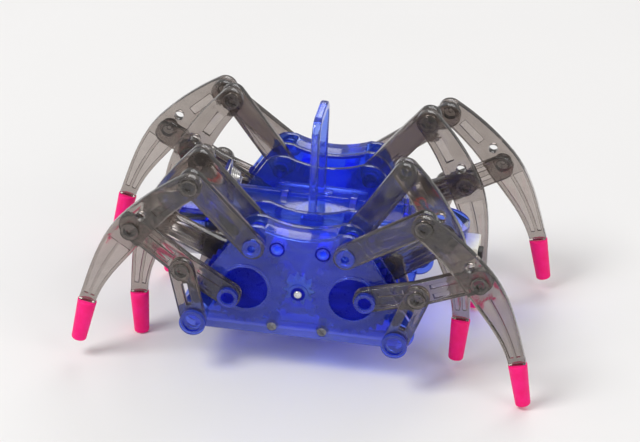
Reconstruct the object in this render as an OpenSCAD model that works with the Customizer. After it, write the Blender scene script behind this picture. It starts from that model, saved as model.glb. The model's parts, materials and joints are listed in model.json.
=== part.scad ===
// Eight-legged walking toy: every leg is a six-bar crank linkage driven from one axle.
// X runs along the walking direction, Y across the body, Z up. The origin is on the
// floor, under the middle of the body. "Near" is the -Y side and "far" the +Y side.

/* [Leg linkage] */
// Distance of each crank axis from the middle of the body
crank_x = 13.4; // [13.2:0.1:13.6]
// Throw of the crank pins
crank_r = 3.9; // [3.5:0.1:4]
// Upper pivot, distance from the middle of the body
upper_x = 11.6; // [11.2:0.1:12]
// Upper pivot, height above the crank axes
upper_z = 12.7; // [12.5:0.1:13]
// Lower pivot, distance from the middle of the body
lower_x = 25.2; // [25:0.1:25.6]
// Lower pivot, depth below the crank axes
lower_z = 8.1; // [8:0.1:8.4]
// Connecting arm, from its crank end to its elbow
arm_in = 13.4; // [13.2:0.1:13.8]
// Connecting arm, from its elbow to the leg
arm_out = 16.2; // [16:0.1:16.5]
// Upward bend of the connecting arm at its elbow
arm_bend = 6.5; // [5:0.5:8]
// Length of the lower rocker
lower_len = 13.9; // [13.6:0.1:14.2]
// Length of the upper rocker
upper_len = 22.4; // [22:0.1:22.8]
// Leg, from the knee to the arm's pin
knee_len = 19.8; // [19.4:0.1:20.2]
// Leg, from the arm's pin to the foot's end
shank_len = 34.8; // [33:0.1:36]
// Inward bend of the leg at the arm's pin
leg_bend = 25; // [20:1:30]
// Angle of the near side's cranks at rest
near_phase = 21; // [15:1:25]
// Angle of the far side's cranks at rest
far_phase = -2; // [-6:1:4]

/* [Body] */
// Height of the crank axes above the floor
axle_h = 22.4; // [22.4:0.1:24]
// Outer face of each gear case, from the middle
case_out = 26.6; // [26.4:0.1:27]
// Inner face of each gear case, from the middle
case_in = 19.4; // [19.3:0.1:19.5]
// Outer face of the chassis walls, from the middle
chassis_out = 13.2; // [12.8:0.1:13.3]
// Thickness of the gear case plates
plate_t = 1.4; // [1.2:0.1:1.6]
// Thickness of the chassis walls and deck
wall_t = 1.2; // [1:0.1:1.4]
// Radius of the plates' lower corners
corner_r = 4.2; // [4:0.1:4.4]
// Radius of the plates' upper ears
ear_r = 4.6; // [4.4:0.1:4.8]
// Height of the plates' top edge at its lowest, above the crank axes
saddle_z = 15.3; // [15:0.1:15.8]
// Radius of the hollow top edge
saddle_r = 25; // [22:1:30]
// Top of the deck, above the crank axes
deck_z = 10.5; // [10:0.1:10.8]
// Length of the deck's round end tongues, from the middle of the body
tongue_x = 39; // [38:0.5:40]
// Half the width of the tongues
tongue_r = 8; // [7:0.5:9]
// Top of the handle hoop, above the crank axes
arch_z = 38.1; // [37:0.1:40]
// Half the width of the handle hoop, across the body
arch_half = 8.6; // [8.2:0.1:9]
// Width of the hoop's bar, along the body
arch_w = 2.1; // [2:0.1:2.6]

/* [Links] */
// Thickness of every link
link_t = 2.2; // [2:0.1:2.3]
// Gap between the case and the first layer of links
first_gap = 0.5; // [0.4:0.1:0.6]
// Gap between the two layers of links
layer_gap = 0.4; // [0.3:0.1:0.5]
// Width of the rockers
rocker_w = 6.2; // [6:0.1:6.6]
// Radius of the pivot stubs on the body
stub_r = 2; // [1.8:0.1:2.1]
// Radius of the links' own pins
pin_r = 1.5; // [1.4:0.05:1.6]
// Radius of the crank pins
crank_pin_r = 1.3; // [1.2:0.05:1.4]
// Radial clearance of a running fit
fit = 0.06; // [0.04:0.01:0.08]
// Radial clearance at the knees
knee_play = 0.2; // [0.15:0.05:0.3]
// Radial clearance at the crank pins
crank_play = 0.45; // [0.4:0.05:0.5]
// Length of a foot cap
cap_len = 11.5; // [10:0.5:13]
// Radius of a foot cap at its mouth
cap_r = 2.4; // [2.3:0.1:2.6]

/* [Drive] */
// Module of the crank gears and their pinions
gear_m = 0.67; // [0.67:0.01:0.67]
// Teeth of each pinion on the main axle
pinion_teeth = 10; // [10:10:10]
// Teeth of each crank gear
crank_teeth = 30; // [30:10:30]
// Module of the crown gear and the motor pinion
crown_m = 0.6; // [0.6:0.01:0.6]
// Teeth of the crown gear
crown_teeth = 28; // [28:1:28]
// Teeth of the motor pinion
motor_teeth = 8; // [8:1:8]
// Radius of the main axle
axle_r = 1; // [1:0.1:1.1]

/* [Battery bay] */
// Length of the cell that fits the bay
cell_len = 44.5; // [44.5:0.1:45]
// Diameter of the cell that fits the bay
cell_d = 10.5; // [10.2:0.1:10.5]

/* [Hidden] */
$fn = 48;
SLIT = 0.01;                    // overshoot of a cut past the face that it opens
BITE = 0.03;                    // how far a straight side runs into a round it meets
CUT = 9;                        // length of a cut that only has to go right through
lower_pivot = [lower_x, -lower_z];
upper_pivot = [upper_x, upper_z];

// layers of links, measured out from a case's face
layer_2 = first_gap + link_t + layer_gap;
links_out = layer_2 + link_t;
head_r = 2.3;                   // heads of the links' own pins
head_t = 0.6;
head_gap = 0.05;                // end play of a link under a head
eye_r = 0.6;                    // small hole in the middle of those heads
rib_w = 0.8;                    // raised edges of the links
rib_t = 0.3;
groove_t = 0.6;                 // depth of the sunk panels between them
groove_w = 1.2;
groove_mid = 1.3;               // from the bar's middle to the middle of a panel
groove_in = 0.5;                // from a bar's round end to its panels
slot_in_rocker = 1.1;           // from the cap and the pin's head to the lower rocker's slot

// cranks
disc_r = 5.7;
crank_head_r = 2.6;
crank_head_t = 1.2;
crank_eye_r = 1.7;
crank_eye = 0.9;                // depth of the hollow in that head
crank_root_r = disc_r - crank_r - BITE;  // thick foot of a crank pin, just inside its disc
pin_root_t = 0.3;

// gear cases
case_depth = case_out - case_in;
gap_in = case_in - chassis_out;
base_z = lower_z + corner_r - BITE;
rim_w = 1;                      // raised rims of the crank windows
rim_t = 0.25;
boss_r = 2.6;                   // boss round the end of the main axle
boss_t = 0.35;
side_play = 0.1;                // end play of a rocker on its stub
stub_top = link_t + side_play;  // a stub's free length beside one link
keeper_t = 0.4;                 // lip that keeps the upper rocker on its stub
keeper_w = 0.35;
collar_w = 1;                   // thick part of the lower stubs, under the second layer
dome_r = 3.3;                   // caps on the ends of the lower stubs
dome_t = 1.2;
dome_hollow_r = 2.3;
saddle_half = 9;                // half the length of the wall along the hollow top edge
screw_x = 6.3;                  // screws near the bottom edge, pegs near the top edge
screw_z = -10.3;
peg_x = 5.7;
peg_z = 11.7;
screw_r = 0.8;
screw_head_r = 1.2;
screw_head_t = 0.6;
screw_sink = 0.8;               // how far the screws' heads are let into the case
cross_len = 1.6;                // the cross recess in a screw's head
cross_w = 0.36;
screw_post_r = 1.7;
peg_post_r = 2;
peg_hollow_r = 1;
peg_hollow = 3;

// gears: how far a tooth stands out of and goes in from its pitch circle, and half its width
// at its tip, its pitch circle and its root
CRANK_TOOTH = [0.45, 0.75, [0.2, 0.4, 0.62]];
PINION_TOOTH = [0.5, 0.75, [0.14, 0.36, 0.42]];
MOTOR_TOOTH = [0.35, 0.65, [0.12, 0.3, 0.32]];
gear_low = 2;                   // the gears' depth behind a case's outer face
gear_t = 3.2;
crown_r = crown_m * crown_teeth / 2;
crown_y = crown_m * motor_teeth / 2;
crown_in = 1.2;                 // how far its teeth reach in and out from crown_r
crown_out = 0.6;
tooth_w = 0.6;
tooth_h = 1.2;
crown_t = 1.6;
hub_r = 2.6;
hub_t = 4.4;
axle_end = 0.8;                 // how far the main axle stands out of the cases

// motor
motor_x = [-36.5, -27.6, -23];  // outer end, seam and inner end of the motor
motor_r = 6;
motor_flat = 5;
motor_cup_r = 2.2;              // bearing cups on the motor's two ends
motor_cup_t = 1;
mount_in = 2;                   // block that the motor hangs from, from the motor's outer end
mount_size = 8;
shaft_r = 0.75;
shaft_in = 4;                   // the shaft's length inside the motor
pinion_t = 2.3;

// battery bay
cell_axis_z = deck_z + 0.4 + cell_d / 2;
bay_wall_t = 1.2;
bay_wall_h = 8;
bay_end = cell_len / 2 + 1.6;   // outer faces of the bay's end walls
cell_gap = 0.2;                 // clearance round the cell in the walls and cradles
cradle_x = 8;
cradle_half = 7;
cradle_t = 1.6;
cradle_h = 1.6;
contact_t = 0.3;
contact_w = 7.2;
contact_gap = 0.1;              // from the cell's end to each contact plate
tab_w = 2;                      // solder tabs through the end walls
tab_len = 2.4;
tab_z = deck_z + 4;
coils = 5;                      // turns of the battery spring
coil_pitch = 0.5;
coil_grow = 0.35;
coil_r = 1.3;
coil_wire = 0.34;
hole_x = 28;                    // wire holes through the deck
hole_y = 4.6;
hole_r = 1;

// switch
switch_x = [36.7, 41.7];
switch_half = 4.2;
switch_drop = 5.6;              // height of the switch
neck_h = 3.4;                   // block under the deck that the switch hangs from
neck_t = 1.5;
neck_half = 3;
neck_in = 0.2;                  // from the switch's inner face to the block
slot_half = 3;
slot_h = 3;
slot_up = 1.3;
slot_in = 1.5;                  // depth of the slot in the switch's end face
knob_travel = 2.4;
knob_gap = 0.1;
knob_out = 1.1;                 // how far the knob stands out of that face

// handle hoop
arch_t = 2.2;                   // thickness of its bar, round the hoop
arch_round = 4.6;               // outer radius of its corners
arch_foot = 3;                  // half the length of its feet
arch_foot_t = 1.2;

// wires: routes from the crank axes' height up, smoothed between these points
wire_r = 0.5;
wire_sides = 8;
wire_steps = 4;
tab_x = cell_len / 2 + contact_gap + tab_len;
WIRES = [
    [[motor_x[0] - 0.5, 3.6, 1], [motor_x[0] - 0.7, 6.6, 3.4], [-34, 7, 7.2], [-29.3, hole_y + 0.7, 7.8],
     [-hole_x, hole_y, 10], [-hole_x, hole_y, 13], [-tab_x - 1.4, 2.6, tab_z + 1.2],
     [-tab_x, 0.5, tab_z + 0.65]],
    [[motor_x[0] - 0.5, -3.6, 1], [motor_x[0] - 0.7, -6.4, 3.4], [-34, -7, 7.4], [-24, -6.6, 8.6],
     [-8, -6.2, 8.7], [10, -6.2, 8.7], [26, -5.6, 8.6], [32.6, -4.2, 7.9],
     [switch_x[0] - 1.8, -2.9, 6.2], [switch_x[0] - 0.6, -2.6, 3.6]],
    [[switch_x[0] - 0.6, 2.6, 3.6], [switch_x[0] - 1.8, 2.9, 6.2], [32.4, 3.6, 7.4],
     [29.3, hole_y - 0.3, 7.9], [hole_x, hole_y, 10], [hole_x, hole_y, 13],
     [tab_x + 1.4, 2.6, tab_z + 1.2], [tab_x, 0.5, tab_z + 0.65]]
];

// name, side of the body, crank angle on that side, case face, direction away from it
SETS = [
    ["near_left_outer", -1, -near_phase, -case_out, -1],
    ["near_right_outer", 1, near_phase, -case_out, -1],
    ["near_left_inner", -1, 180 - near_phase, -case_in, 1],
    ["near_right_inner", 1, 180 + near_phase, -case_in, 1],
    ["far_left_inner", -1, 180 - far_phase, case_in, -1],
    ["far_right_inner", 1, 180 + far_phase, case_in, -1],
    ["far_left_outer", -1, -far_phase, case_out, 1],
    ["far_right_outer", 1, far_phase, case_out, 1]
];
// name, side of the body, direction away from the middle, crank angle on that side
CRANKS = [
    ["crank_near_left", -1, -1, -near_phase],
    ["crank_near_right", 1, -1, near_phase],
    ["crank_far_left", -1, 1, -far_phase],
    ["crank_far_right", 1, 1, far_phase]
];
LINKS = ["upper_rocker", "lower_rocker", "connecting_arm", "leg", "foot_cap"];

// ---- geometry of one leg, drawn for the right-hand side, crank axes at height 0 ----
function polar(r, a) = [r * cos(a), r * sin(a)];
function heading(p, q) = atan2(q[1] - p[1], q[0] - p[0]);
// where bars from p and q meet, on the left of the line from p to q
function meet(p, rp, q, rq) =
    let (d = norm(q - p), u = (q - p) / d, a = (d * d + rp * rp - rq * rq) / (2 * d))
    p + a * u + sqrt(rp * rp - a * a) * [-u[1], u[0]];
function crank_end(t) = [crank_x, 0] + polar(crank_r, t);
function elbow(t) = meet(crank_end(t), arm_in, lower_pivot, lower_len);
function arm_end(t) =
    elbow(t) + polar(arm_out, heading(crank_end(t), elbow(t)) + arm_bend);
function knee(t) = meet(upper_pivot, upper_len, arm_end(t), knee_len);

// The leg's centre line is one arc through the knee, the arm's pin and the foot's end.
// In the leg's own frame the pin is the origin and the knee is at [-knee_len, 0].
foot = polar(shank_len, -leg_bend);
arc_r = norm(foot + [knee_len, 0]) / (2 * sin(leg_bend));
arc_mid = [-knee_len / 2, -sqrt(pow(arc_r, 2) - pow(knee_len / 2, 2))];
knee_a = -asin(knee_len / 2 / arc_r);
foot_a = atan2(foot[0] - arc_mid[0], foot[1] - arc_mid[1]);
mouth_a = foot_a - 2 * asin(cap_len / 2 / arc_r);
function on_arc(a, off = 0) = arc_mid + (arc_r + off) * [sin(a), cos(a)];
mouth = on_arc(mouth_a);
// half width of the leg along its arc: widest at the arm's pin, narrowest at the cap
knee_half = 3.1;
pin_half = 4.2;
mouth_half = 2.1;
function half_w(a) =
    a < -knee_a ? knee_half + (pin_half - knee_half) * (a - knee_a) / (-2 * knee_a)
    : mouth_half + (pin_half - mouth_half) * (1 + cos(180 * (a + knee_a) / (mouth_a + knee_a))) / 2;
function strip(a0, a1, out, inner, n) = concat(
    [for (i = [0:n]) let (a = a0 + (a1 - a0) * i / n) on_arc(a, out(a))],
    [for (i = [n:-1:0]) let (a = a0 + (a1 - a0) * i / n) on_arc(a, inner(a))]
);

// ---- placing ----
// A side plane: x along the body, y up from the crank axes, z away from the plane.
module side_plane(y, away)
    translate([0, y, axle_h]) rotate([90, 0, 0])
        mirror([0, 0, away > 0 ? 1 : 0]) children();
module flip(side) mirror([side < 0 ? 1 : 0, 0, 0]) children();
module place(set) side_plane(set[3], set[4]) flip(set[1]) children();
module lift(z, t) translate([0, 0, z]) linear_extrude(t) children();
module at(p, a = 0) translate(p) rotate(a) children();
module both() for (s = [-1, 1]) flip(s) children();

// ---- flat outlines ----
module bar(len, w) {
    circle(w / 2);
    translate([0, -w / 2]) square([len, w]);
    translate([len, 0]) circle(w / 2);
}
module side_outline() {
    lean = [upper_z + lower_z, lower_x - upper_x] / norm(upper_pivot - lower_pivot);
    low = lower_pivot + (corner_r - BITE) * lean;
    high = upper_pivot + (ear_r - BITE) * lean;
    ear_top = upper_z + ear_r - BITE;
    difference() {
        union() {
            polygon([[-lower_x, -base_z], [lower_x, -base_z], low, high, [upper_x, ear_top],
                     [-upper_x, ear_top], [-high[0], high[1]], [-low[0], low[1]]]);
            for (s = [-1, 1]) {
                translate([s * lower_x, -lower_z]) circle(corner_r);
                translate([s * upper_x, upper_z]) circle(ear_r);
            }
        }
        translate([0, saddle_z + saddle_r]) circle(saddle_r, $fn = 96);
    }
}
// a spur gear outline with straight flanks, one tooth pointing along +x
module spur(m, teeth, tooth) {
    rp = m * teeth / 2;
    tip = rp + tooth[0];
    root = rp - tooth[1];
    half = tooth[2];
    r = [root, root, rp, tip, tip, rp, root];
    h = [-half[2], -half[2], -half[1], -half[0], half[0], half[1], half[2]];
    polygon([for (i = [0:teeth - 1], k = [1:6])
        polar(r[k], 360 * i / teeth + asin(h[k] / r[k]))]);
}

// ---- gear cases ----
// everything that runs through a case plate, cut from inner_z outwards
module case_bores() translate([0, 0, -2 * case_depth]) {
    both() translate([crank_x, 0]) cylinder(h = 3 * case_depth, r = disc_r + fit);
    cylinder(h = 3 * case_depth, r = axle_r + fit);
    both() translate([screw_x, screw_z]) cylinder(h = 3 * case_depth, r = screw_r + fit);
}
module upper_stub() {
    lift(-plate_t, plate_t + first_gap + stub_top) circle(stub_r);
    lift(first_gap + stub_top, keeper_t) circle(stub_r + keeper_w);
}
module lower_stub() {
    lift(0, layer_2 - side_play) circle(stub_r + collar_w);
    lift(0, layer_2 + stub_top) circle(stub_r);
    lift(layer_2 + stub_top, dome_t) circle(dome_r);
}
module case_outer(away) color("royalblue", 0.6) side_plane(away * case_out, away)
    difference() {
        inner_z = plate_t - case_depth;
        union() {
            lift(-plate_t, plate_t) side_outline();
            lift(0, rim_t) both() translate([crank_x, 0]) circle(disc_r + rim_w);
            lift(0, boss_t) circle(boss_r);
            lift(inner_z, -inner_z) translate([-lower_x, -base_z]) square([2 * lower_x, plate_t]);
            lift(inner_z, -inner_z) intersection() {
                translate([0, saddle_z + saddle_r]) difference() {
                    circle(saddle_r + wall_t, $fn = 96);
                    circle(saddle_r, $fn = 96);
                }
                translate([-saddle_half, 0]) square([2 * saddle_half, saddle_z + ear_r]);
            }
            both() translate([screw_x, screw_z]) lift(inner_z, -inner_z) circle(screw_post_r);
            both() translate([peg_x, peg_z]) {
                lift(inner_z, -inner_z) circle(peg_post_r);
                lift(-case_depth, plate_t + SLIT) circle(screw_r);
            }
            both() translate(upper_pivot) upper_stub();
            both() translate(lower_pivot) lower_stub();
        }
        case_bores();
        both() translate(upper_pivot) lift(0, CUT) circle(stub_r / 2);
        both() translate(lower_pivot) lift(links_out + dome_t / 2, CUT) circle(dome_hollow_r);
        both() translate([screw_x, screw_z]) lift(-screw_sink, CUT) circle(screw_head_r + fit);
        both() translate([peg_x, peg_z]) lift(-peg_hollow, CUT) circle(peg_hollow_r);
    }
module case_inner(away) color("royalblue", 0.6) side_plane(away * case_out, away) difference() {
    lift(-case_depth, plate_t) side_outline();
    case_bores();
    both() translate([peg_x, peg_z, -2 * case_depth]) cylinder(h = 2 * case_depth, r = screw_r + fit);
}
module case_screws() color("silver") for (away = [-1, 1]) side_plane(away * case_out, away)
    both() translate([screw_x, screw_z, -screw_sink]) difference() {
        union() {
            lift(0, screw_head_t) circle(screw_head_r);
            lift(screw_sink - case_depth, case_depth - screw_sink + SLIT) circle(screw_r);
        }
        for (a = [45, 135]) lift(screw_head_t / 2, CUT) rotate(a)
            square([cross_len, cross_w], center = true);
    }

// ---- cranks ----
module crank_pin() {
    top = first_gap + stub_top;
    lift(-pin_root_t, pin_root_t + SLIT) circle(crank_root_r);
    lift(-pin_root_t, pin_root_t + top + SLIT) circle(crank_pin_r);
    difference() {
        lift(top, crank_head_t) circle(crank_head_r);
        lift(top + crank_head_t - crank_eye, CUT) circle(crank_eye_r);
    }
}
module crank(c) color("mediumblue", 0.7) side_plane(c[2] * case_out, c[2]) flip(c[1])
    translate([crank_x, 0]) {
        lift(-case_depth, case_depth) circle(disc_r);
        lift(-gear_low - gear_t, gear_t) rotate(180 / crank_teeth)
            spur(gear_m, crank_teeth, CRANK_TOOTH);
        translate(polar(crank_r, c[3])) crank_pin();
        translate([0, 0, -case_depth]) mirror([0, 0, 1])
            translate(polar(crank_r, c[3] + 180)) crank_pin();
    }

// ---- axle and drive gears ----
module main_axle() color("gainsboro") translate([0, 0, axle_h]) rotate([90, 0, 0])
    cylinder(h = 2 * (case_out + axle_end), r = axle_r, center = true);
module drive_gears() color("ivory") {
    for (away = [-1, 1]) side_plane(away * case_out, away) difference() {
        lift(-gear_low - gear_t, gear_t)
            spur(gear_m, pinion_teeth, PINION_TOOTH);
        translate([0, 0, -case_depth]) cylinder(h = case_depth, r = axle_r);
    }
    side_plane(0, 1) difference() {
        face = crown_y - rib_t + tooth_h - SLIT;  // the disc's face, at the roots of the teeth
        union() {
            lift(face, crown_t) circle(crown_r + crown_out);
            lift(face, hub_t) circle(hub_r);
            for (i = [0:crown_teeth - 1]) rotate(360 * i / crown_teeth + 180)
                translate([crown_r - crown_in, -tooth_w / 2, face + SLIT - tooth_h])
                    cube([crown_in + crown_out - SLIT, tooth_w, tooth_h]);
        }
        cylinder(h = CUT, r = axle_r);
    }
}
module motor_pinion() color("white") translate([-crown_r, 0, axle_h]) rotate([0, 90, 0]) {
    translate([0, 0, -pinion_t / 2]) linear_extrude(pinion_t) rotate(180 / motor_teeth)
        spur(crown_m, motor_teeth, MOTOR_TOOTH);
    shaft_len = -motor_x[2] - crown_r + shaft_in;
    translate([0, 0, -shaft_len]) cylinder(h = shaft_len, r = shaft_r);
}

// ---- motor ----
module motor_section() intersection() {
    circle(motor_r);
    square([2 * motor_flat, 2 * motor_r], center = true);
}
module along_x(x) translate([x, 0, axle_h]) rotate([0, 90, 0]) children();
module motor_can() color("silver") {
    along_x(motor_x[0]) linear_extrude(motor_x[1] - motor_x[0]) motor_section();
    along_x(motor_x[0] - motor_cup_t) cylinder(h = motor_cup_t + SLIT, r = motor_cup_r);
}
module motor_nose() color("dimgray") difference() {
    union() {
        along_x(motor_x[1]) linear_extrude(motor_x[2] - motor_x[1]) motor_section();
        along_x(motor_x[2] - SLIT) cylinder(h = motor_cup_t, r = motor_cup_r);
    }
    along_x(motor_x[1] - SLIT) cylinder(h = CUT, r = shaft_r + fit);
}

// ---- chassis ----
module tongue() {
    translate([0, -tongue_r]) square([tongue_x - tongue_r, 2 * tongue_r]);
    translate([tongue_x - tongue_r, 0]) circle(tongue_r, $fn = 64);
}
module bay_walls() both() {
    translate([bay_end - bay_wall_t, -cell_d / 2, deck_z - SLIT])
        cube([bay_wall_t, cell_d, bay_wall_h]);
    translate([cradle_x, -cradle_half, deck_z - SLIT]) cube([cradle_t, 2 * cradle_half, cradle_h]);
}
module motor_mount() translate([motor_x[0] + mount_in, -mount_size / 2, motor_flat])
    cube([mount_size, mount_size, deck_z - wall_t - motor_flat + SLIT]);
module chassis() color("royalblue", 0.6) difference() {
    union() {
        for (away = [-1, 1]) side_plane(away * chassis_out, away) {
            lift(-wall_t, wall_t) side_outline();
            both() translate(upper_pivot) lift(-SLIT, gap_in + SLIT) circle(stub_r);
            both() translate(lower_pivot) {
                lift(-SLIT, gap_in + SLIT) circle(stub_r);
                lift(gap_in - layer_2 + side_play, layer_2 - side_play) circle(stub_r + collar_w);
            }
        }
        translate([0, 0, axle_h + deck_z - wall_t]) linear_extrude(wall_t) {
            both() tongue();
            square([2 * upper_x, 2 * chassis_out - SLIT], center = true);
        }
        translate([-lower_x, -chassis_out + SLIT, axle_h - base_z])
            cube([2 * lower_x, 2 * (chassis_out - SLIT), wall_t]);
        translate([0, 0, axle_h]) {
            bay_walls();
            motor_mount();
            translate([switch_x[0] + neck_in, -neck_half, deck_z - wall_t - neck_h])
                cube([neck_t, 2 * neck_half, neck_h + SLIT]);
        }
    }
    translate([0, 0, axle_h]) {
        translate([-cell_len / 2, 0, cell_axis_z]) rotate([0, 90, 0])
            cylinder(h = cell_len, r = cell_d / 2 + cell_gap);
        rotate([90, 0, 0]) cylinder(h = 2 * case_in, r = axle_r + fit, center = true);
        for (s = [-1, 1]) translate([s * hole_x, hole_y, 0]) cylinder(h = 2 * deck_z, r = hole_r);
        both() translate([bay_end - bay_wall_t - 1, -tab_w / 2 - fit, tab_z - fit])
            cube([bay_wall_t + 2, tab_w + 2 * fit, contact_t + 2 * fit]);
    }
}
module hoop_outline(half, top, round_r) {
    translate([-half, 0]) square([2 * half, top - round_r]);
    translate([round_r - half, 0]) square([2 * (half - round_r), top]);
    for (s = [-1, 1]) translate([s * (half - round_r), top - round_r]) circle(round_r);
}
module arch_handle() color("cornflowerblue", 0.7) translate([0, 0, axle_h]) {
    rotate([90, 0, 90]) translate([0, 0, -arch_w / 2]) linear_extrude(arch_w)
        translate([0, deck_z]) difference() {
            hoop_outline(arch_half, arch_z - deck_z, arch_round);
            translate([0, -SLIT])
                hoop_outline(arch_half - arch_t, arch_z - deck_z - arch_t + SLIT, arch_round - arch_t);
        }
    for (s = [-1, 1]) translate([-arch_foot, s * (arch_half - arch_t / 2) - arch_t / 2, deck_z])
        cube([2 * arch_foot, arch_t, arch_foot_t]);
}

// ---- electrics ----
module battery_contacts() color("silver") translate([0, 0, axle_h]) {
    both() {
        translate([cell_len / 2 + contact_gap, -contact_w / 2, cell_axis_z - contact_w / 2])
            cube([contact_t, contact_w, contact_w]);
        translate([cell_len / 2 + contact_gap, -tab_w / 2, tab_z]) cube([tab_len, tab_w, contact_t]);
    }
    // the spring is a cone of coils that touch, its wide end on the left-hand plate
    translate([-cell_len / 2 + (coils - 1) * coil_pitch + coil_wire, 0, cell_axis_z])
        rotate([0, -90, 0]) for (i = [0:coils - 1]) translate([0, 0, coil_pitch * i])
            rotate_extrude($fn = 32) translate([coil_r + coil_grow * i, 0])
                circle(coil_wire, $fn = 16);
}
function unit(v) = v / norm(v);
// a smooth curve through the points of p, with wire_steps steps from each to the next
function smooth(p) = let (e = len(p) - 1) concat(
    [for (i = [0:e - 1], k = [0:wire_steps - 1])
        let (t = k / wire_steps, a = p[max(i - 1, 0)], d = p[min(i + 2, e)])
        p[i] + 0.5 * (t * (p[i + 1] - a)
            + t * t * (2 * a - 5 * p[i] + 4 * p[i + 1] - d)
            + t * t * t * (3 * p[i] - a - 3 * p[i + 1] + d))],
    [p[e]]);
// one side vector per ring of a tube, each carried on from the ring before it
function carry(dirs, i, v) = i == len(dirs) ? []
    : let (w = unit(v - (v * dirs[i]) * dirs[i])) concat([w], carry(dirs, i + 1, w));
module tube(p, r, n) {
    e = len(p) - 1;
    dirs = [for (i = [0:e]) unit(p[min(i + 1, e)] - p[max(i - 1, 0)])];
    side = carry(dirs, 0, [0.2, 1, 0.3]);
    polyhedron(
        [for (i = [0:e], k = [0:n - 1]) p[i]
            + r * (cos(360 * k / n) * side[i] + sin(360 * k / n) * cross(dirs[i], side[i]))],
        concat([[for (k = [0:n - 1]) k]], [[for (k = [n - 1:-1:0]) e * n + k]],
            [for (i = [0:e - 1], k = [0:n - 1]) let (j = (k + 1) % n)
                [i * n + k, (i + 1) * n + k, (i + 1) * n + j, i * n + j]]));
}
module wires() color("crimson") translate([0, 0, axle_h])
    for (w = WIRES) tube(smooth(w), wire_r, wire_sides);
module switch_place(x, y, up)
    translate([x, y, axle_h + deck_z - wall_t - neck_h - switch_drop + up]) children();
module switch_body() color("ivory") difference() {
    switch_place(switch_x[0], -switch_half, 0)
        cube([switch_x[1] - switch_x[0], 2 * switch_half, switch_drop]);
    switch_place(switch_x[1] - slot_in, -slot_half, slot_up) cube([slot_in + 1, 2 * slot_half, slot_h]);
}
module switch_knob() color("dimgray")
    switch_place(switch_x[1] - slot_in + knob_gap, -slot_half + knob_gap, slot_up + knob_gap)
        cube([slot_in + knob_out, 2 * (slot_half - knob_gap) - knob_travel, slot_h - 2 * knob_gap]);

// ---- links ----
// a pin from height z, with a head just clear of the link whose face is at height top
module pin_with_head(z, top) {
    lift(z, top - z + head_gap + SLIT) circle(pin_r);
    lift(top + head_gap, head_t) difference() {
        circle(head_r);
        circle(eye_r);
    }
}
// the two sunk panels along a bar, one each side of its middle rib
module bar_grooves(len, z) for (e = [-1, 1])
    translate([rocker_w / 2 + groove_in, e * groove_mid - groove_w / 2, z - groove_t])
        cube([len - rocker_w - 2 * groove_in, groove_w, CUT]);
module upper_rocker(s) color("gray", 0.6) place(s)
    at(upper_pivot, heading(upper_pivot, knee(s[2]))) {
        lift(first_gap, link_t) difference() {
            bar(upper_len, rocker_w);
            circle(stub_r + fit);
        }
        translate([upper_len, 0]) pin_with_head(first_gap + link_t - SLIT, links_out);
        for (e = [0, 1])
            translate([stub_r * 2, e * (rocker_w - rib_w) - rocker_w / 2, first_gap - rib_t])
                cube([upper_len - 4 * stub_r, rib_w, rib_t + SLIT]);
    }
module lower_rocker(s) color("gray", 0.6) place(s)
    at(lower_pivot, heading(lower_pivot, elbow(s[2]))) lift(layer_2, link_t) difference() {
        bar(lower_len, rocker_w);
        circle(stub_r + fit);
        translate([lower_len, 0]) circle(pin_r + fit);
        translate([dome_r + slot_in_rocker, -rib_w])
            square([lower_len - dome_r - head_r - 2 * slot_in_rocker, 2 * rib_w]);
    }
module connecting_arm(s) color("gray", 0.6) place(s) {
    m = crank_end(s[2]);
    c = elbow(s[2]);
    p = arm_end(s[2]);
    top = first_gap + link_t;
    difference() {
        union() {
            lift(first_gap, link_t) {
                at(m, heading(m, c)) bar(arm_in, rocker_w);
                at(c, heading(c, p)) bar(arm_out, rocker_w);
            }
            translate(c) pin_with_head(first_gap, links_out);
            translate(p) pin_with_head(first_gap, links_out);
        }
        translate([m[0], m[1], 0]) cylinder(h = CUT, r = crank_pin_r + crank_play);
        difference() {
            union() {
                at(m, heading(m, c)) bar_grooves(arm_in, top);
                at(c, heading(c, p)) bar_grooves(arm_out, top);
            }
            translate(c) cylinder(h = CUT, r = rocker_w / 2);
        }
    }
}
spigot_w = 2.6;                 // flat spigot inside the foot cap
spigot_t = 1.6;
spigot_len = cap_len - 2.5;
spigot_gap = 0.05;
side_hole = [-4.8, 1.3];        // small through hole beside the arm's pin
side_hole_r = 1.2;
leg_edge = 0.8;                 // width of the leg's raised edges
leg_spine = 0.35;               // half the width of the rib along its middle
panel_in = [4, 2];              // angle from the arm's pin and from the cap to its sunk panels
flat_panel = [[4.6, 8], 2.2];   // panel over the knee: clear of the knee and pin, and its width
module leg_frame(s) place(s) at(arm_end(s[2]), heading(knee(s[2]), arm_end(s[2]))) children();
module foot_frame(s) leg_frame(s) translate([mouth[0], mouth[1], layer_2 + link_t / 2])
    rotate([0, 0, heading(mouth, foot)]) children();
module leg_panels() {
    z = layer_2 + link_t - groove_t;
    a0 = -knee_a + panel_in[0];
    a1 = mouth_a - panel_in[1];
    rib = function (a) leg_spine;
    edge = function (a) half_w(a) - leg_edge;
    lift(z, CUT) polygon(strip(a0, a1, edge, rib, 12));
    lift(z, CUT) polygon(strip(a0, a1, function (a) -rib(a), function (a) -edge(a), 12));
    lift(z, CUT) translate([flat_panel[0][0] - knee_len, -flat_panel[1] / 2])
        square([knee_len - flat_panel[0][0] - flat_panel[0][1], flat_panel[1]]);
}
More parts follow.
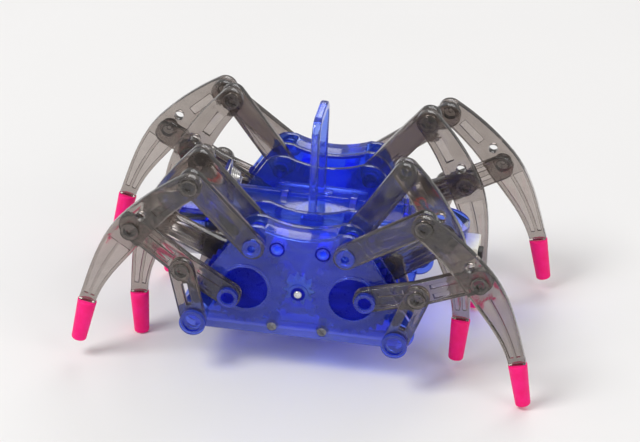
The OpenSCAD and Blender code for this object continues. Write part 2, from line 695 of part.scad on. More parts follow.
module leg(s) color("gray", 0.6) {
    difference() {
        leg_frame(s) {
            lift(layer_2, link_t)
                polygon(strip(knee_a, mouth_a + 2, function (a) half_w(a), function (a) -half_w(a), 24));
            lift(layer_2, link_t) translate([-knee_len, 0]) circle(knee_half);
        }
        leg_frame(s) {
            translate([-knee_len, 0]) cylinder(h = CUT, r = pin_r + knee_play);
            cylinder(h = CUT, r = pin_r + fit);
            translate(side_hole) cylinder(h = CUT, r = side_hole_r);
            leg_panels();
        }
        foot_frame(s) translate([0, -cap_r - 1, -link_t]) cube([CUT, 2 * cap_r + 2, 2 * link_t]);
    }
    foot_frame(s) translate([-0.5, -spigot_w / 2, -spigot_t / 2])
        cube([spigot_len + 0.5, spigot_w, spigot_t]);
}
module foot_cap(s) color("deeppink") foot_frame(s) rotate([0, 90, 0]) difference() {
    round_r = 0.4;              // rounding of the cap's closed end
    end_r = cap_r - 0.5;
    rotate_extrude($fn = 40) polygon(concat(
        [[0, spigot_gap], [cap_r - 0.2, spigot_gap], [cap_r, 0.3]],
        [for (a = [0:15:75]) [end_r - round_r, cap_len - round_r] + polar(round_r, a)],
        [[0, cap_len]]));
    translate([-spigot_t / 2 - spigot_gap, -spigot_w / 2 - spigot_gap, -1])
        cube([spigot_t + 2 * spigot_gap, spigot_w + 2 * spigot_gap, spigot_len + 1 + 2 * spigot_gap]);
}

chassis();
case_outer(-1);  // near_case_outer
case_inner(-1);  // near_case_inner
case_outer(1);  // far_case_outer
case_inner(1);  // far_case_inner
arch_handle();
case_screws();
battery_contacts();
motor_can();
motor_nose();
motor_pinion();
main_axle();
drive_gears();
wires();
switch_body();
switch_knob();
for (c = CRANKS) crank(c);
for (s = SETS) {
    upper_rocker(s);
    lower_rocker(s);
    connecting_arm(s);
    leg(s);
    foot_cap(s);
}
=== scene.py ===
"""Looks for the eight-legged walking toy: bevelled clear plastic shells, rubber feet and metal parts."""
import json
import math

import bmesh
import bpy
from mathutils import Matrix, Vector

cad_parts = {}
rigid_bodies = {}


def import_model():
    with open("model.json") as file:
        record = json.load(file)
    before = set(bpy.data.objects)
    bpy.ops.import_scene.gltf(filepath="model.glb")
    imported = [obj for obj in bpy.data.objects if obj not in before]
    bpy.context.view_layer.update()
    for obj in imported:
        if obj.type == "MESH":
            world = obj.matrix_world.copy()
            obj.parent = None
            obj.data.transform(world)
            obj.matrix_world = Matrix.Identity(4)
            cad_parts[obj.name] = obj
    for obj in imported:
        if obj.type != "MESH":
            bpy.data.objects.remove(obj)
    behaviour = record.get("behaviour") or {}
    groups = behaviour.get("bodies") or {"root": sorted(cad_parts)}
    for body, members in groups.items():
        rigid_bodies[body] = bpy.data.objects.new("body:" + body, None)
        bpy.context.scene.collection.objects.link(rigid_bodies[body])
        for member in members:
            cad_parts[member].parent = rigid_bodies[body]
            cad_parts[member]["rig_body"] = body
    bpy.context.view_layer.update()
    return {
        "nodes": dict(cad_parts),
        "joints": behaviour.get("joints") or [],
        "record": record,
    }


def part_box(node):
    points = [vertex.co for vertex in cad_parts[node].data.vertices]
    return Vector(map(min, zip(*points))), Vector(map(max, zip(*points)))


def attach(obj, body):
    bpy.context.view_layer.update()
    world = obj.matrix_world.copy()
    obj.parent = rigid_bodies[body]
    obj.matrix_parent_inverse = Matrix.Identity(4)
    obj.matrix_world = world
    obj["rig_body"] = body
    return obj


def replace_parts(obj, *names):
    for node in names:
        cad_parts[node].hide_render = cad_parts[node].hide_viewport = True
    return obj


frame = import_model()
NODES = frame["nodes"]
SCENE = bpy.context.scene
MM = 0.001


def joint(name):
    return next(j for j in frame["joints"] if j["name"] == name)


AXLE_Z = joint("axle_spin")["pos_m"][2]
BODY_OF = {n: o["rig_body"] for n, o in NODES.items()}
SETS = sorted(n[:-len("_foot_cap")] for n in NODES if n.endswith("_foot_cap"))
CRANKS = sorted(n for n in NODES if n.startswith("crank_"))

# radii and heights of the CAD's mouldings that get an edge of their own, or painted light or shade
CAP_TOP = 6.6 * MM          # from a gear case's outer face to the top of its pivot caps
PLATE = 1.3 * MM            # just more than a plate's thickness
DOME, DOME_HOLLOW = 3.3 * MM, 2.3 * MM      # caps on the lower stubs
KEEPER = 2.35 * MM          # caps on the upper stubs
WINDOW_RIM = 6.7 * MM
PEG = (5.7, 11.7)           # a peg's place on the plate, in millimetres from the axle
PEG_HOLLOW, PEG_POST = 1.1 * MM, 2.05 * MM
BAND = 2.6 * MM             # height of the band along a case's bottom that is painted lighter, as painted light
CRANK_HEAD, CRANK_HOLLOW = 2.6 * MM, 1.7 * MM
PIN_HEAD = 2.3 * MM         # the links' own pins
SHADE_RIMS = ((1.4 * MM, 1.52 * MM), (2.17 * MM, 2.32 * MM))     # painted shade, nearly black: the eye in a head, and its rim

# limits for finding edges and corners
SHARP = math.radians(36)    # the least angle of an edge that gets a bevel
ON_RIM = 0.08 * MM          # how far a corner on a moulding's rim may be off it
LEVEL = 0.01 * MM           # how far a corner on a piece's end face may be off it


# ---- materials ----

class Surface:
    """A material of one Principled shader, with short calls that add nodes to it."""

    def __init__(self, name, colour, roughness, metallic=0.0, ior=1.46):
        self.material = bpy.data.materials.new(name)
        self.material.use_nodes = True
        self.nodes = self.material.node_tree.nodes
        self.links = self.material.node_tree.links
        self.shader = self.nodes["Principled BSDF"]
        self.output = self.nodes["Material Output"]
        self.set("Base Color", (*colour, 1))
        self.set("Roughness", roughness)
        self.set("Metallic", metallic)
        self.set("IOR", ior)
        self.place = self.nodes.new("ShaderNodeTexCoord").outputs["Object"]

    def set(self, socket, value):
        self.shader.inputs[socket].default_value = value

    def noise(self, scale, detail=3.0, stretch=None):
        """Noise whose scale is in cells per metre, drawn out along one axis if stretch says so."""
        place = self.place
        if stretch:
            mapping = self.nodes.new("ShaderNodeMapping")
            mapping.inputs["Scale"].default_value = stretch
            self.links.new(self.place, mapping.inputs["Vector"])
            place = mapping.outputs["Vector"]
        node = self.nodes.new("ShaderNodeTexNoise")
        node.inputs["Scale"].default_value = scale
        node.inputs["Detail"].default_value = detail
        self.links.new(place, node.inputs["Vector"])
        return node.outputs["Fac"]

    def ramp(self, fac, stops):
        node = self.nodes.new("ShaderNodeValToRGB")
        ramp = node.color_ramp
        while len(ramp.elements) < len(stops):
            ramp.elements.new(0.5)
        for element, (at, value) in zip(ramp.elements, stops):
            element.position = at
            element.color = (*value, 1) if isinstance(value, tuple) else (value, value, value, 1)
        self.links.new(fac, node.inputs["Fac"])
        return node.outputs["Color"]

    def spread(self, fac, low, high):
        """The middle of a noise's range, 0.3 to 0.7, spread over low to high."""
        node = self.nodes.new("ShaderNodeMapRange")
        node.inputs["From Min"].default_value = 0.3
        node.inputs["From Max"].default_value = 0.7
        node.inputs["To Min"].default_value = low
        node.inputs["To Max"].default_value = high
        self.links.new(fac, node.inputs["Value"])
        return node.outputs["Result"]

    def colour(self, fac, stops):
        self.links.new(self.ramp(fac, stops), self.shader.inputs["Base Color"])

    def roughness(self, fac, low, high):
        self.links.new(self.spread(fac, low, high), self.shader.inputs["Roughness"])

    def bump(self, heights, distance):
        """Bump from several (noise, strength) pairs, each laid over the one before."""
        normal = None
        for fac, strength in heights:
            node = self.nodes.new("ShaderNodeBump")
            node.inputs["Strength"].default_value = strength
            node.inputs["Distance"].default_value = distance
            self.links.new(fac, node.inputs["Height"])
            if normal:
                self.links.new(normal, node.inputs["Normal"])
            normal = node.outputs["Normal"]
        self.links.new(normal, self.shader.inputs["Normal"])

    def let_light_through(self, tint):
        """Rays from lamps pass straight through, tinted, so that what is behind isn't left black."""
        path = self.nodes.new("ShaderNodeLightPath")
        clear = self.nodes.new("ShaderNodeBsdfTransparent")
        clear.inputs["Color"].default_value = (*tint, 1)
        mix = self.nodes.new("ShaderNodeMixShader")
        self.links.new(path.outputs["Is Shadow Ray"], mix.inputs["Fac"])
        self.links.new(self.shader.outputs["BSDF"], mix.inputs[1])
        self.links.new(clear.outputs["BSDF"], mix.inputs[2])
        self.links.new(mix.outputs["Shader"], self.output.inputs["Surface"])

    def absorb(self, colour, density):
        node = self.nodes.new("ShaderNodeVolumeAbsorption")
        node.inputs["Color"].default_value = (*colour, 1)
        node.inputs["Density"].default_value = density
        self.links.new(node.outputs["Volume"], self.output.inputs["Volume"])


def clear_plastic(name, light, dark, shadow, body, absorb=None, density=0.0,
                  rough=(0.03, 0.1), grain=0.05, specular=0.5):
    """Polished moulded clear plastic: flow lines, faint scuffs and a slight swirl in its tint.
    A mesh with two of these has neither absorb: light must leave by the stuff it came in by."""
    s = Surface(name, light, 0.06, ior=1.49)
    s.set("Transmission Weight", 1.0 - body)
    s.set("Specular IOR Level", specular)
    flow = s.noise(190, 2, stretch=(1, 0.35, 2.2))
    scuff = s.noise(2600, 6)
    s.colour(flow, [(0.3, dark), (0.72, light)])
    s.roughness(s.noise(700, 4), *rough)
    s.bump([(flow, 0.10), (scuff, grain)], 0.0004)
    s.let_light_through(shadow)
    if absorb:
        s.absorb(absorb, density)
    return s.material


BLUE = clear_plastic("clear_blue", (0.30, 0.46, 1.0), (0.22, 0.37, 0.98), (0.46, 0.54, 0.88),
                     0.07, absorb=(0.09, 0.24, 0.985), density=440)
SHELL_BLUE = clear_plastic("shell_blue", (0.17, 0.31, 1.0), (0.07, 0.16, 1.0),
                           (0.46, 0.54, 0.88), 0.08, rough=(0.015, 0.05), grain=0.03)
# painted light: a lighter copy of the blue for the posts behind the plate and the hollows in front of
# them
LIT_POST_BLUE = clear_plastic("post_lit_blue", (0.22, 0.38, 1.0), (0.15, 0.29, 1.0),
                          (0.46, 0.54, 0.88), 0.6)
# painted light: a paler copy of the blue for the band along a case's bottom
LIT_BAND_BLUE = clear_plastic("band_lit_blue", (0.24, 0.31, 0.96), (0.17, 0.24, 0.91),
                          (0.46, 0.54, 0.88), 0.28)
# the crank discs' dark blue, and also painted shade: the walls of the hollows in the lower caps, the
# floors of the hollows in the crank pins' heads and the rings round the axle's ends and the pegs
CRANK_AND_SHADE_BLUE = clear_plastic("crank_blue", (0.003, 0.009, 0.42), (0.001, 0.004, 0.22),
                          (0.12, 0.16, 0.6), 0.85, rough=(0.25, 0.45), grain=0.8, specular=0.04)
# painted highlight: a lighter, glossier copy of the blue for the case's caps and window rims and the
# crank pins' heads
HIGHLIGHT_BLUE = clear_plastic("pin_highlight_blue", (0.14, 0.25, 1.0), (0.09, 0.17, 0.97),
                         (0.3, 0.36, 0.8), 0.12, rough=(0.01, 0.04), specular=1.0)
HOOP_BLUE = clear_plastic("hoop_blue", (0.42, 0.55, 0.98), (0.34, 0.47, 0.96), (0.5, 0.56, 0.85),
                          0.08, absorb=(0.2, 0.34, 0.98), density=300)
SMOKE = clear_plastic("smoke_grey", (0.95, 0.90, 0.87), (0.86, 0.81, 0.78),
                      (0.62, 0.59, 0.56), 0.03, absorb=(0.30, 0.24, 0.20), density=540)


def rubber():
    s = Surface("pink_rubber", (1.0, 0.004, 0.2), 0.45)
    s.set("Specular IOR Level", 0.3)
    cloud = s.noise(420, 4)
    s.colour(cloud, [(0.3, (0.95, 0.002, 0.17)), (0.7, (1.0, 0.008, 0.23))])
    s.roughness(s.noise(1500, 5), 0.36, 0.6)
    s.bump([(s.noise(3800, 4), 0.22), (cloud, 0.15)], 0.0003)
    s.set("Subsurface Weight", 0.12)
    s.set("Subsurface Radius", (1.0, 0.25, 0.35))
    s.set("Subsurface Scale", 0.0012)
    return s.material


def metal(name, dark, light, stretch, low=0.18, high=0.38):
    s = Surface(name, light, 0.28, metallic=1.0)
    grain = s.noise(900, 5, stretch=stretch)
    s.colour(grain, [(0.25, dark), (0.75, light)])
    s.roughness(s.noise(2200, 4, stretch=stretch), low, high)
    s.bump([(grain, 0.12)], 0.0002)
    return s.material


def dull_plastic(name, dark, light, low, high, subsurface=0.0):
    s = Surface(name, light, 0.45)
    cloud = s.noise(520, 4)
    s.colour(cloud, [(0.3, dark), (0.7, light)])
    s.roughness(s.noise(1800, 5), low, high)
    s.bump([(s.noise(4200, 3), 0.16)], 0.0002)
    if subsurface:
        s.set("Subsurface Weight", subsurface)
        s.set("Subsurface Radius", (1.0, 0.9, 0.7))
        s.set("Subsurface Scale", 0.001)
    return s.material


PINK = rubber()
# painted shade: nearly black paint for the rims of the links' pins, heads and eyes
SHADE_RIM_SMOKE = dull_plastic("rim_shade_smoke", (0.030, 0.027, 0.024), (0.062, 0.056, 0.050), 0.12, 0.3)
SCREW = metal("screw_zinc", (0.52, 0.52, 0.53), (0.82, 0.82, 0.83), (1, 1, 1))
SCREW_HEADS = metal("screw_head_steel", (0.10, 0.10, 0.11), (0.34, 0.34, 0.36), (1, 1, 1), 0.25, 0.45)
NICKEL = metal("contact_nickel", (0.62, 0.60, 0.56), (0.88, 0.87, 0.83), (1, 1, 4))
CAN = metal("motor_can_steel", (0.50, 0.50, 0.51), (0.74, 0.74, 0.75), (6, 0.6, 0.6), 0.24, 0.42)
NYLON = dull_plastic("milky_nylon", (0.78, 0.76, 0.66), (0.90, 0.89, 0.80), 0.28, 0.5, 0.25)
GEAR_NYLON = dull_plastic("gear_nylon", (0.70, 0.74, 0.36), (0.84, 0.86, 0.48), 0.28, 0.5, 0.2)
BLACK = dull_plastic("black_plastic", (0.012, 0.012, 0.013), (0.03, 0.03, 0.032), 0.35, 0.6)
RED_WIRE = dull_plastic("red_insulation", (0.55, 0.012, 0.012), (0.74, 0.03, 0.025), 0.3, 0.5)
BLACK_WIRE = dull_plastic("black_insulation", (0.015, 0.015, 0.016), (0.04, 0.04, 0.042), 0.3, 0.5)
SOLDER = metal("solder", (0.55, 0.55, 0.57), (0.85, 0.85, 0.87), (1, 1, 1), 0.1, 0.3)
SLOT_MATERIALS = {
    "blue_clear": BLUE, "crank_blue": CRANK_AND_SHADE_BLUE, "smoke_clear": SMOKE, "pink_rubber": PINK,
    "screw_steel": SCREW, "contact_metal": NICKEL, "motor_steel": CAN, "white_nylon": NYLON,
    "black_plastic": BLACK, "red_insulation": RED_WIRE,
}
SLOT_OF = {s["node"]: s["material_slot"] for s in frame["record"]["subparts"]}


# ---- pieces ----

def new_piece(name, mesh, node, material):
    """Puts a mesh in the scene as a piece that rides the body of a CAD node."""
    piece = bpy.data.objects.new(name, mesh)
    SCENE.collection.objects.link(piece)
    mesh.materials.clear()
    mesh.materials.append(material)
    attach(piece, BODY_OF[node])
    return piece


def smooth_by_angle(mesh, degrees=38):
    mesh.polygons.foreach_set("use_smooth", [True] * len(mesh.polygons))
    mesh.set_sharp_from_angle(angle=math.radians(degrees))


def clean_copy(node):
    """The CAD node's mesh with its doubled corners joined and its flat faces whole."""
    mesh = NODES[node].data.copy()
    bm = bmesh.new()
    bm.from_mesh(mesh)
    bmesh.ops.remove_doubles(bm, verts=bm.verts, dist=2e-6)
    bmesh.ops.dissolve_limit(bm, angle_limit=math.radians(0.5), verts=bm.verts, edges=bm.edges)
    bm.to_mesh(mesh)
    bm.free()
    return mesh


def with_modifiers(mesh, name, add):
    """The mesh after the modifiers that add puts on an object holding it."""
    holder = bpy.data.objects.new(name + "_holder", mesh)
    SCENE.collection.objects.link(holder)
    add(holder)
    result = bpy.data.meshes.new_from_object(
        holder.evaluated_get(bpy.context.evaluated_depsgraph_get()))
    bpy.data.objects.remove(holder)
    result.name = name
    return result


def around(x, z, radius):
    """A test for points at a radius from an axis along Y, all in metres."""
    return lambda p: abs(math.hypot(p.x - x, p.z - z) - radius) < ON_RIM


def rounded(axes, radius, width):
    """Rounds the edges at a radius from each of the axes: a list for bevelled's wide."""
    return [(around(x, z, radius), width) for x, z in axes]


def weigh_edges(mesh, width, wide):
    """Gives each sharp edge its share of the widest bevel: width, or what wide says for its place."""
    widest = max([width, *(w for _, w in wide)])
    bm = bmesh.new()
    bm.from_mesh(mesh)
    layer = bm.edges.layers.float.new("bevel_weight_edge")
    for edge in bm.edges:
        if not edge.is_manifold or edge.calc_face_angle() < SHARP:
            continue
        edge[layer] = width / widest
        for test, w in wide:
            if all(test(v.co) for v in edge.verts):
                edge[layer] = w / widest
    bm.to_mesh(mesh)
    bm.free()
    return widest


def split_at(mesh, height):
    """An edge loop right round the mesh at a height, so that the faces below can be painted."""
    bm = bmesh.new()
    bm.from_mesh(mesh)
    bmesh.ops.bisect_plane(bm, geom=bm.verts[:] + bm.edges[:] + bm.faces[:], dist=1e-7,
                           plane_co=(0, 0, height), plane_no=(0, 0, 1))
    bm.to_mesh(mesh)
    bm.free()


def bevelled(node, width=0.16, segments=2, material=None, wide=(), split=None):
    """A piece in place of a CAD node with its sharp edges rounded, as a moulding has them; widths
    are in millimetres."""
    mesh = clean_copy(node)
    if split is not None:
        split_at(mesh, split)
    widest = weigh_edges(mesh, width, wide)

    def add(holder):
        bevel = holder.modifiers.new("edges", "BEVEL")
        bevel.width = widest * MM
        bevel.segments = segments
        bevel.limit_method = "WEIGHT"
        bevel.use_clamp_overlap = True
    mesh = with_modifiers(mesh, node + "_moulded", add)
    smooth_by_angle(mesh)
    slot = SLOT_OF[node]
    piece = new_piece(node + "_moulded", mesh, node, material or SLOT_MATERIALS[slot])
    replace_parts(piece, node)
    return piece


def paint(piece, material, test):
    """Gives another material to the faces whose middle passes the test."""
    piece.data.materials.append(material)
    for face in piece.data.polygons:
        if test(face.center):
            face.material_index = len(piece.data.materials) - 1


def off_axes(c, axes):
    """Distance from a point to the nearest of some axes along Y."""
    return min(math.hypot(c.x - x, c.z - z) for x, z in axes)


def axes_of(*names):
    """Where the named joints' axes cross the plane of X and Z."""
    return [tuple(joint(name)["pos_m"][::2]) for name in names]


def middle_of(points):
    """The mean X and Z of some points."""
    return sum(p.x for p in points) / len(points), sum(p.z for p in points) / len(points)


def case_outer(side):
    """The plate's pivot caps are rounded over like beads. The caps, its window rims, its bottom edge
    and the posts behind it are painted lighter than the plate, as painted light where they catch
    the light, and the hollows in the lower caps are painted dark, as painted shade."""
    node = f"{side}_case_outer"
    low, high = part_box(node)
    lower = axes_of(*(f"{side}_{hand}_outer_lower_rocker_swing" for hand in ("left", "right")))
    upper = axes_of(*(f"{side}_{hand}_outer_upper_rocker_swing" for hand in ("left", "right")))
    windows = axes_of(*(f"crank_{side}_{hand}_spin" for hand in ("left", "right")))
    pegs = [(hand * PEG[0] * MM, AXLE_Z + PEG[1] * MM) for hand in (-1, 1)]
    wide = rounded(lower, DOME, 0.55) + rounded(lower, DOME_HOLLOW, 0.3)
    wide += rounded(upper, KEEPER, 0.18) + rounded(windows, WINDOW_RIM, 0.2)
    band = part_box(f"{side}_case_inner")[0].z + BAND
    piece = bevelled(node, 0.14, 3, SHELL_BLUE, wide, band)
    face = max(abs(low.y), abs(high.y)) - CAP_TOP

    def out(c):
        """How far a point is out from the plate's face."""
        return abs(c.y) - face

    # painted highlight: the caps and the window rims, lighter than the plate
    paint(piece, HIGHLIGHT_BLUE, lambda c: out(c) > 0.5 * MM
          and off_axes(c, lower + upper) < DOME + 0.15 * MM
          or out(c) > 0.02 * MM and off_axes(c, windows) < WINDOW_RIM + 0.2 * MM)
    # painted shade: the walls of the hollows in the lower caps, dark
    paint(piece, CRANK_AND_SHADE_BLUE, lambda c: -0.4 * MM < off_axes(c, lower) - DOME_HOLLOW < 0.03 * MM
          and 0.12 * MM < CAP_TOP - out(c) < 0.62 * MM)
    # painted light: the band along the bottom, paler than the plate
    paint(piece, LIT_BAND_BLUE, lambda c: c.z < band and out(c) < 0.1 * MM)
    # painted light: the posts behind the plate, and the hollows in front of them, lighter than the plate
    paint(piece, LIT_POST_BLUE, lambda c: out(c) < -PLATE and off_axes(c, pegs) < PEG_POST
          or out(c) < -0.05 * MM and off_axes(c, pegs) < PEG_HOLLOW)


def crank(node):
    """A dark disc and gear, with tube-like heads on its two pins painted lighter as painted highlights;
    the floors of the hollows in the heads stay dark, as painted shade.
    """
    low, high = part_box(node)
    points = [v.co for v in NODES[node].data.vertices]
    heads = []
    for end in (low.y, high.y):
        x, z = middle_of([p for p in points if abs(p.y - end) < LEVEL])
        heads.append((x, end, z))
    axes = [(x, z) for x, _, z in heads]
    wide = rounded(axes, CRANK_HEAD, 0.34) + rounded(axes, CRANK_HOLLOW, 0.22)
    piece = bevelled(node, 0.12, 3, wide=wide)

    def on_head(c):
        """Whether a point is on a head, and not at the bottom of the hollow in it."""
        for x, end, z in heads:
            deep, off = abs(c.y - end), math.hypot(c.x - x, c.z - z)
            in_hollow = deep > 0.6 * MM and off < 1 * MM
            if deep < 1.4 * MM and off < CRANK_HEAD + 0.1 * MM and not in_hollow:
                return True
        return False
    # painted highlight: the heads lighter than the disc, but for the floors of their hollows, left dark
    # as painted shade
    paint(piece, HIGHLIGHT_BLUE, on_head)


def plate_shade_rings():
    """Painted shade: dark rings on the outer plates, round the ends of the main axle and round the pegs.
    """
    # the profiles of the painted shade rings: round an end of the axle, and round a peg
    axle_shade_ring = [(1.04, 0.3), (1.04, 0.5), (1.25, 0.52), (1.75, 0.44), (1.85, 0.3)]
    edge = [(1.5, -0.02), (1.6, 0.06), (1.9, 0.06), (2.0, -0.02)]

    def rings(bm):
        face = abs(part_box("near_case_outer")[0].y + CAP_TOP) / MM
        for way in (-1, 1):
            add_lathe(bm, axle_shade_ring, (0, way * face, 0), (0, way, 0), 48, True)
            for hand in (-1, 1):
                add_lathe(bm, edge, (hand * PEG[0], way * face, PEG[1]), (0, way, 0), 40, True)
    solid("plate_shade_rings", rings, "near_case_outer", CRANK_AND_SHADE_BLUE)


def knee_of(name):
    """The knee pin's axis: the middle of the head that stands out furthest from an upper rocker."""
    points = [v.co for v in NODES[f"{name}_upper_rocker"].data.vertices]
    root = joint(f"{name}_upper_rocker_swing")["pos_m"][1]
    furthest = max(abs(p.y - root) for p in points)
    return middle_of([p for p in points if abs(abs(p.y - root) - furthest) < LEVEL])


def link_set(name):
    """The links; the sides of the pins and their heads, and of the eye in each head, look nearly
    black, as no light gets through them to the side."""
    for link in ("lower_rocker", "leg"):
        bevelled(f"{name}_{link}", 0.2, 3)
    pins = {"upper_rocker": [knee_of(name)],
            "connecting_arm": axes_of(f"{name}_connecting_arm_swing", f"{name}_leg_swing")}
    for link, axes in pins.items():
        piece = bevelled(f"{name}_{link}", 0.2, 3, wide=rounded(axes, PIN_HEAD, 0.14))

        # painted shade: the rims of the pins, the heads and the eyes, painted nearly black
        def on_shade_rims(c, axes=axes):
            off = off_axes(c, axes)
            return any(inner < off < outer for inner, outer in SHADE_RIMS)
        paint(piece, SHADE_RIM_SMOKE, on_shade_rims)
    bevelled(f"{name}_foot_cap", 0.12, 3)


# ---- pieces built here ----

def solid(name, build, node, material, bevel=0.0, segments=2):
    """A new piece from a bmesh that build fills, with its sharp edges rounded if bevel says so."""
    bm = bmesh.new()
    build(bm)
    bmesh.ops.recalc_face_normals(bm, faces=bm.faces)
    mesh = bpy.data.meshes.new(name)
    bm.to_mesh(mesh)
    bm.free()
    if bevel:
        def add(holder):
            rounder = holder.modifiers.new("edges", "BEVEL")
            rounder.width = bevel * MM
            rounder.segments = segments
            rounder.limit_method = "ANGLE"
            rounder.angle_limit = SHARP
        mesh = with_modifiers(mesh, name, add)
    smooth_by_angle(mesh)
    return new_piece(name, mesh, node, material)


def add_box(bm, low, high):
    """A box between two corners in millimetres, heights counted from the axle."""
    size = Vector(high) - Vector(low)
    middle = (Vector(high) + Vector(low)) / 2 * MM + Vector((0, 0, AXLE_Z))
    bmesh.ops.create_cube(bm, size=1, matrix=Matrix.Translation(middle)
                          @ Matrix.Diagonal((*(size * MM), 1)))


def add_lathe(bm, profile, place, axis, steps=40, ring=False):
    """A profile of (radius, height) points in millimetres turned about an axis; its two ends are
    closed by discs, or joined to each other for a ring."""
    turn = Vector((0, 0, 1)).rotation_difference(Vector(axis)).to_matrix()
    rings = []
    for radius, height in profile:
        corners = []
        for k in range(steps):
            a = 2 * math.pi * k / steps
            local = turn @ Vector((radius * math.cos(a), radius * math.sin(a), height))
            corners.append(bm.verts.new((Vector(place) + local) * MM + Vector((0, 0, AXLE_Z))))
        rings.append(corners)
    for a, b in zip(rings, rings[1:] + rings[:1] if ring else rings[1:]):
        for k in range(steps):
            bm.faces.new((a[k], a[(k + 1) % steps], b[(k + 1) % steps], b[k]))
    if not ring:
        bm.faces.new(rings[0])
        bm.faces.new(rings[-1])


def tube_piece(name, points, radius, node, material, resolution=6):
    """A round tube along points in millimetres, heights counted from the axle."""
    curve = bpy.data.curves.new(name, "CURVE")
    curve.dimensions = "3D"
    curve.bevel_depth = radius * MM
    curve.bevel_resolution = 4
    curve.resolution_u = resolution
    curve.use_fill_caps = True
    spline = curve.splines.new("NURBS")
    spline.points.add(len(points) - 1)
    for target, p in zip(spline.points, points):
        target.co = (p[0] * MM, p[1] * MM, p[2] * MM + AXLE_Z, 1)
    spline.use_endpoint_u = True
    spline.order_u = 3
    holder = bpy.data.objects.new(name + "_line", curve)
    SCENE.collection.objects.link(holder)
    mesh = bpy.data.meshes.new_from_object(
        holder.evaluated_get(bpy.context.evaluated_depsgraph_get()))
    bpy.data.objects.remove(holder)
    mesh.name = name
    smooth_by_angle(mesh, 50)
    return new_piece(name, mesh, node, material)


# in millimetres, heights counted from the axle
CELL_AXIS = 16.15           # the battery's axis
CELL_END = 22.25            # half its length
DECK = 10.5                 # top of the deck
CONTACT = 3.6               # half the side of a contact's plate
TAB_Z = 14.5                # the solder tabs' underside


def battery_contacts():
    def plates(bm):
        for side in (-1, 1):
            x = sorted((side * (CELL_END + 0.1), side * (CELL_END + 0.4)))
            add_box(bm, (x[0], -CONTACT, CELL_AXIS - CONTACT), (x[1], CONTACT, CELL_AXIS + CONTACT))
            x = sorted((side * (CELL_END + 0.2), side * (CELL_END + 2.5)))
            add_box(bm, (x[0], -1, TAB_Z), (x[1], 1, TAB_Z + 0.3))
        nub = [(0.01, 0), (1.9, 0), (1.8, 0.25), (1.3, 0.6), (0.7, 0.8), (0.01, 0.84)]
        add_lathe(bm, nub, (CELL_END + 0.12, 0, CELL_AXIS), (-1, 0, 0))
    piece = solid("battery_plates", plates, "battery_contacts", NICKEL, 0.08)
    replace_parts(piece, "battery_contacts")
    turns, steps = 5, 24
    widest, narrowing, length, wire = 2.7, 1.35, 2.3, 0.22
    points = []
    for i in range(turns * steps + 1):
        t = i / (turns * steps)
        radius = widest - narrowing * t
        a = 2 * math.pi * turns * t
        points.append((-CELL_END + 0.28 + length * t, radius * math.cos(a),
                       CELL_AXIS + radius * math.sin(a)))
    spring = tube_piece("battery_spring", points, wire, "battery_contacts", NICKEL, 2)
    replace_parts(spring, "battery_contacts")


MOTOR_END = -36.5           # the end that the motor's terminals are on
TERMINAL = 3.6              # how far off the middle the terminals are
SWITCH_END = 36.7           # the side that the switch's pins are on
SWITCH_PIN = 2.6            # how far off the middle the outer pins are
HOLE = (28, 4.6)            # a lead's way through the deck
TAB_END = CELL_END + 2.4
LEAD = 0.46                 # radius of a lead
LEADS = [
    ("lead_motor_to_spring", RED_WIRE,
     [(MOTOR_END - 0.5, TERMINAL, 1), (MOTOR_END - 0.7, 6.6, 3.4), (-34, 7, 7.2),
      (-29.3, HOLE[1] + 0.7, 7.8), (-HOLE[0], HOLE[1], 10), (-HOLE[0], HOLE[1], 13),
      (-TAB_END - 1.4, 2.6, TAB_Z + 1.2), (-TAB_END, 0.5, TAB_Z + 0.65)]),
    ("lead_motor_to_switch", BLACK_WIRE,
     [(MOTOR_END - 0.5, -TERMINAL, 1), (MOTOR_END - 0.7, -6.4, 3.4), (-34, -7, 7.4), (-24, -6.6, 8.6),
      (-8, -6.2, 8.7), (10, -6.2, 8.7), (26, -5.6, 8.6), (32.6, -4.2, 7.9),
      (SWITCH_END - 1.8, -2.9, 6.2), (SWITCH_END - 0.6, -SWITCH_PIN, 3.6)]),
    ("lead_switch_to_contact", RED_WIRE,
     [(SWITCH_END - 0.6, SWITCH_PIN, 3.6), (SWITCH_END - 1.8, 2.9, 6.2), (32.4, 3.6, 7.4),
      (29.3, HOLE[1] - 0.3, 7.9), (HOLE[0], HOLE[1], 10), (HOLE[0], HOLE[1], 13),
      (TAB_END + 1.4, 2.6, TAB_Z + 1.2), (TAB_END, 0.5, TAB_Z + 0.65)]),
]


def leads():
    for name, material, points in LEADS:
        piece = tube_piece(name, points, LEAD, "wires", material)
        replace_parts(piece, "wires")
    bead = [(0.01, -0.42), (0.45, -0.34), (0.72, 0), (0.5, 0.34), (0.01, 0.42)]

    def beads(bm):
        for _, _, points in LEADS:
            for p in (points[0], points[-1]):
                add_lathe(bm, bead, p, (0, 0, 1), 20)
    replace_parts(solid("solder_beads", beads, "wires", SOLDER), "wires")


def motor():
    bevelled("motor_can", 0.55, 4)
    bevelled("motor_nose", 0.3, 3)

    def terminals(bm):
        for y in (-TERMINAL, TERMINAL):
            add_box(bm, (MOTOR_END - 0.85, y - 0.9, -1.6), (MOTOR_END - 0.02, y + 0.9, 1.6))

    # painted shade: black slots on the motor's end that stand for its vent openings
    def vent_shade(bm):
        for z in (-3.3, 3.3):
            add_box(bm, (MOTOR_END - 0.06, -2, z - 0.5), (MOTOR_END + 0.3, 2, z + 0.5))
    solid("motor_terminals", terminals, "motor_can", NICKEL, 0.15)
    solid("motor_vent_shade", vent_shade, "motor_can", BLACK, 0.02)


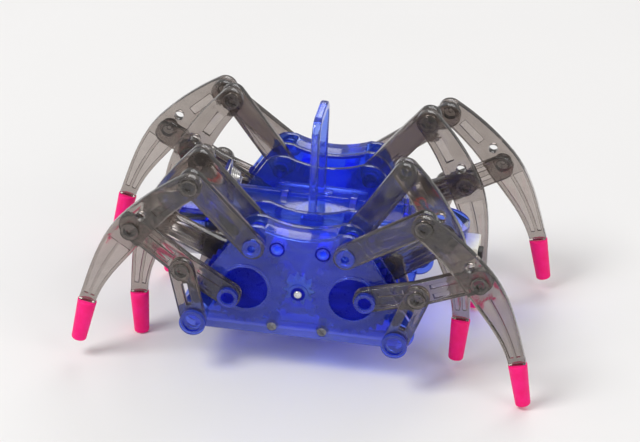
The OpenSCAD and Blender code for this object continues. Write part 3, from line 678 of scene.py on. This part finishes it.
def switch():
    bevelled("switch_body", 0.3, 3)
    bevelled("switch_knob", 0.25, 3)
    low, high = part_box("switch_knob")

    def ribs(bm):
        count = 3
        for k in range(count):
            y = (low.y + (high.y - low.y) * (k + 1) / (count + 1)) / MM
            add_box(bm, (high.x / MM - 0.1, y - 0.16, (low.z - AXLE_Z) / MM + 0.3),
                    (high.x / MM - 0.001, y + 0.16, (high.z - AXLE_Z) / MM - 0.3))
    solid("switch_knob_ribs", ribs, "switch_knob", BLACK, 0.03)
    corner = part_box("switch_body")[0]

    def pins(bm):
        for y in (-SWITCH_PIN, 0, SWITCH_PIN):
            x = corner.x / MM
            z = (corner.z - AXLE_Z) / MM + 2.2
            add_box(bm, (x - 1.2, y - 0.45, z), (x + 0.1, y + 0.45, z + 0.25))
    solid("switch_pins", pins, "switch_body", NICKEL, 0.04)


def bay_rails():
    """Low rails on the deck that keep the battery from rolling."""
    def rails(bm):
        for side in (-1, 1):
            y = sorted((side * 4.3, side * 5.0))
            for x0, x1 in ((-21.6, -10.2), (-7.4, 7.4), (10.2, 21.6)):
                add_box(bm, (x0, y[0], DECK - 0.05), (x1, y[1], DECK + 0.9))
    solid("bay_rails", rails, "chassis", BLUE, 0.15)


def build():
    bevelled("chassis", 0.14, 3)
    for side in ("near", "far"):
        bevelled(f"{side}_case_inner", 0.14, 3)
        case_outer(side)
    plate_shade_rings()
    for node in CRANKS:
        crank(node)
    for name in SETS:
        link_set(name)
    bevelled("arch_handle", 0.9, 5, HOOP_BLUE)
    bevelled("case_screws", 0.16, 3, SCREW_HEADS)
    for node in ("motor_pinion", "drive_gears"):
        bevelled(node, 0.06, material=GEAR_NYLON)
    bevelled("main_axle", 0.25, 3)
    motor()
    battery_contacts()
    leads()
    switch()
    bay_rails()


# ---- camera, light and floor ----

CAMERA_AZIMUTH = 7.67       # degrees round from straight in front of the near side
CAMERA_ELEVATION = 28.2
CAMERA_ROLL = 2.8
CAMERA_DISTANCE = 0.81
CAMERA_LENS = 180
SENSOR = 36
AIM = Vector((0.001, 0, 0.029))     # the toy's middle


def make_camera():
    camera = bpy.data.objects.new("camera", bpy.data.cameras.new("camera"))
    SCENE.collection.objects.link(camera)
    azimuth, elevation = math.radians(CAMERA_AZIMUTH), math.radians(CAMERA_ELEVATION)
    back = Vector((math.sin(azimuth) * math.cos(elevation),
                   -math.cos(azimuth) * math.cos(elevation), math.sin(elevation)))
    turn = (-back).to_track_quat("-Z", "Y").to_matrix()
    turn = turn @ Matrix.Rotation(math.radians(CAMERA_ROLL), 3, "Z")
    camera.matrix_world = Matrix.Translation(AIM + back * CAMERA_DISTANCE) @ turn.to_4x4()
    camera.data.lens = CAMERA_LENS
    camera.data.sensor_width = SENSOR
    camera.data.clip_start, camera.data.clip_end = 0.01, 50
    SCENE.camera = camera


LIT_POINT = Vector((0, 0, 0.03))    # what every lamp points at


def area_light(name, place, size, power, colour=(1, 1, 1)):
    light = bpy.data.lights.new(name, "AREA")
    light.shape = "RECTANGLE"
    light.size, light.size_y = size
    light.energy = power
    light.color = colour
    lamp = bpy.data.objects.new(name, light)
    lamp.location = place
    lamp.rotation_euler = (LIT_POINT - Vector(place)).to_track_quat("-Z", "Y").to_euler()
    SCENE.collection.objects.link(lamp)


def make_studio():
    world = bpy.data.worlds.new("studio")
    world.use_nodes = True
    background = world.node_tree.nodes["Background"]
    background.inputs["Color"].default_value = (1.0, 0.99, 0.985, 1)
    background.inputs["Strength"].default_value = 0.5
    SCENE.world = world
    area_light("key", (-0.55, -0.45, 0.95), (0.42, 0.42), 7.6)
    area_light("fill", (0.9, -0.6, 0.6), (0.7, 0.7), 3.2, (1.0, 0.985, 0.97))
    area_light("back", (0.15, 1.0, 0.8), (0.9, 0.5), 4.0)
    mesh = bpy.data.meshes.new("floor")
    half = 3.0
    mesh.from_pydata([(-half, -half, 0), (half, -half, 0), (half, half, 0), (-half, half, 0)], [],
                     [(0, 1, 2, 3)])
    floor = bpy.data.objects.new("floor", mesh)
    SCENE.collection.objects.link(floor)
    s = Surface("pale_paper", (0.80, 0.795, 0.79), 0.7)
    s.colour(s.noise(6, 3), [(0.3, (0.79, 0.785, 0.78)), (0.7, (0.82, 0.815, 0.81))])
    mesh.materials.append(s.material)
    SCENE.view_settings.view_transform = "Standard"


make_camera()
build()
make_studio()
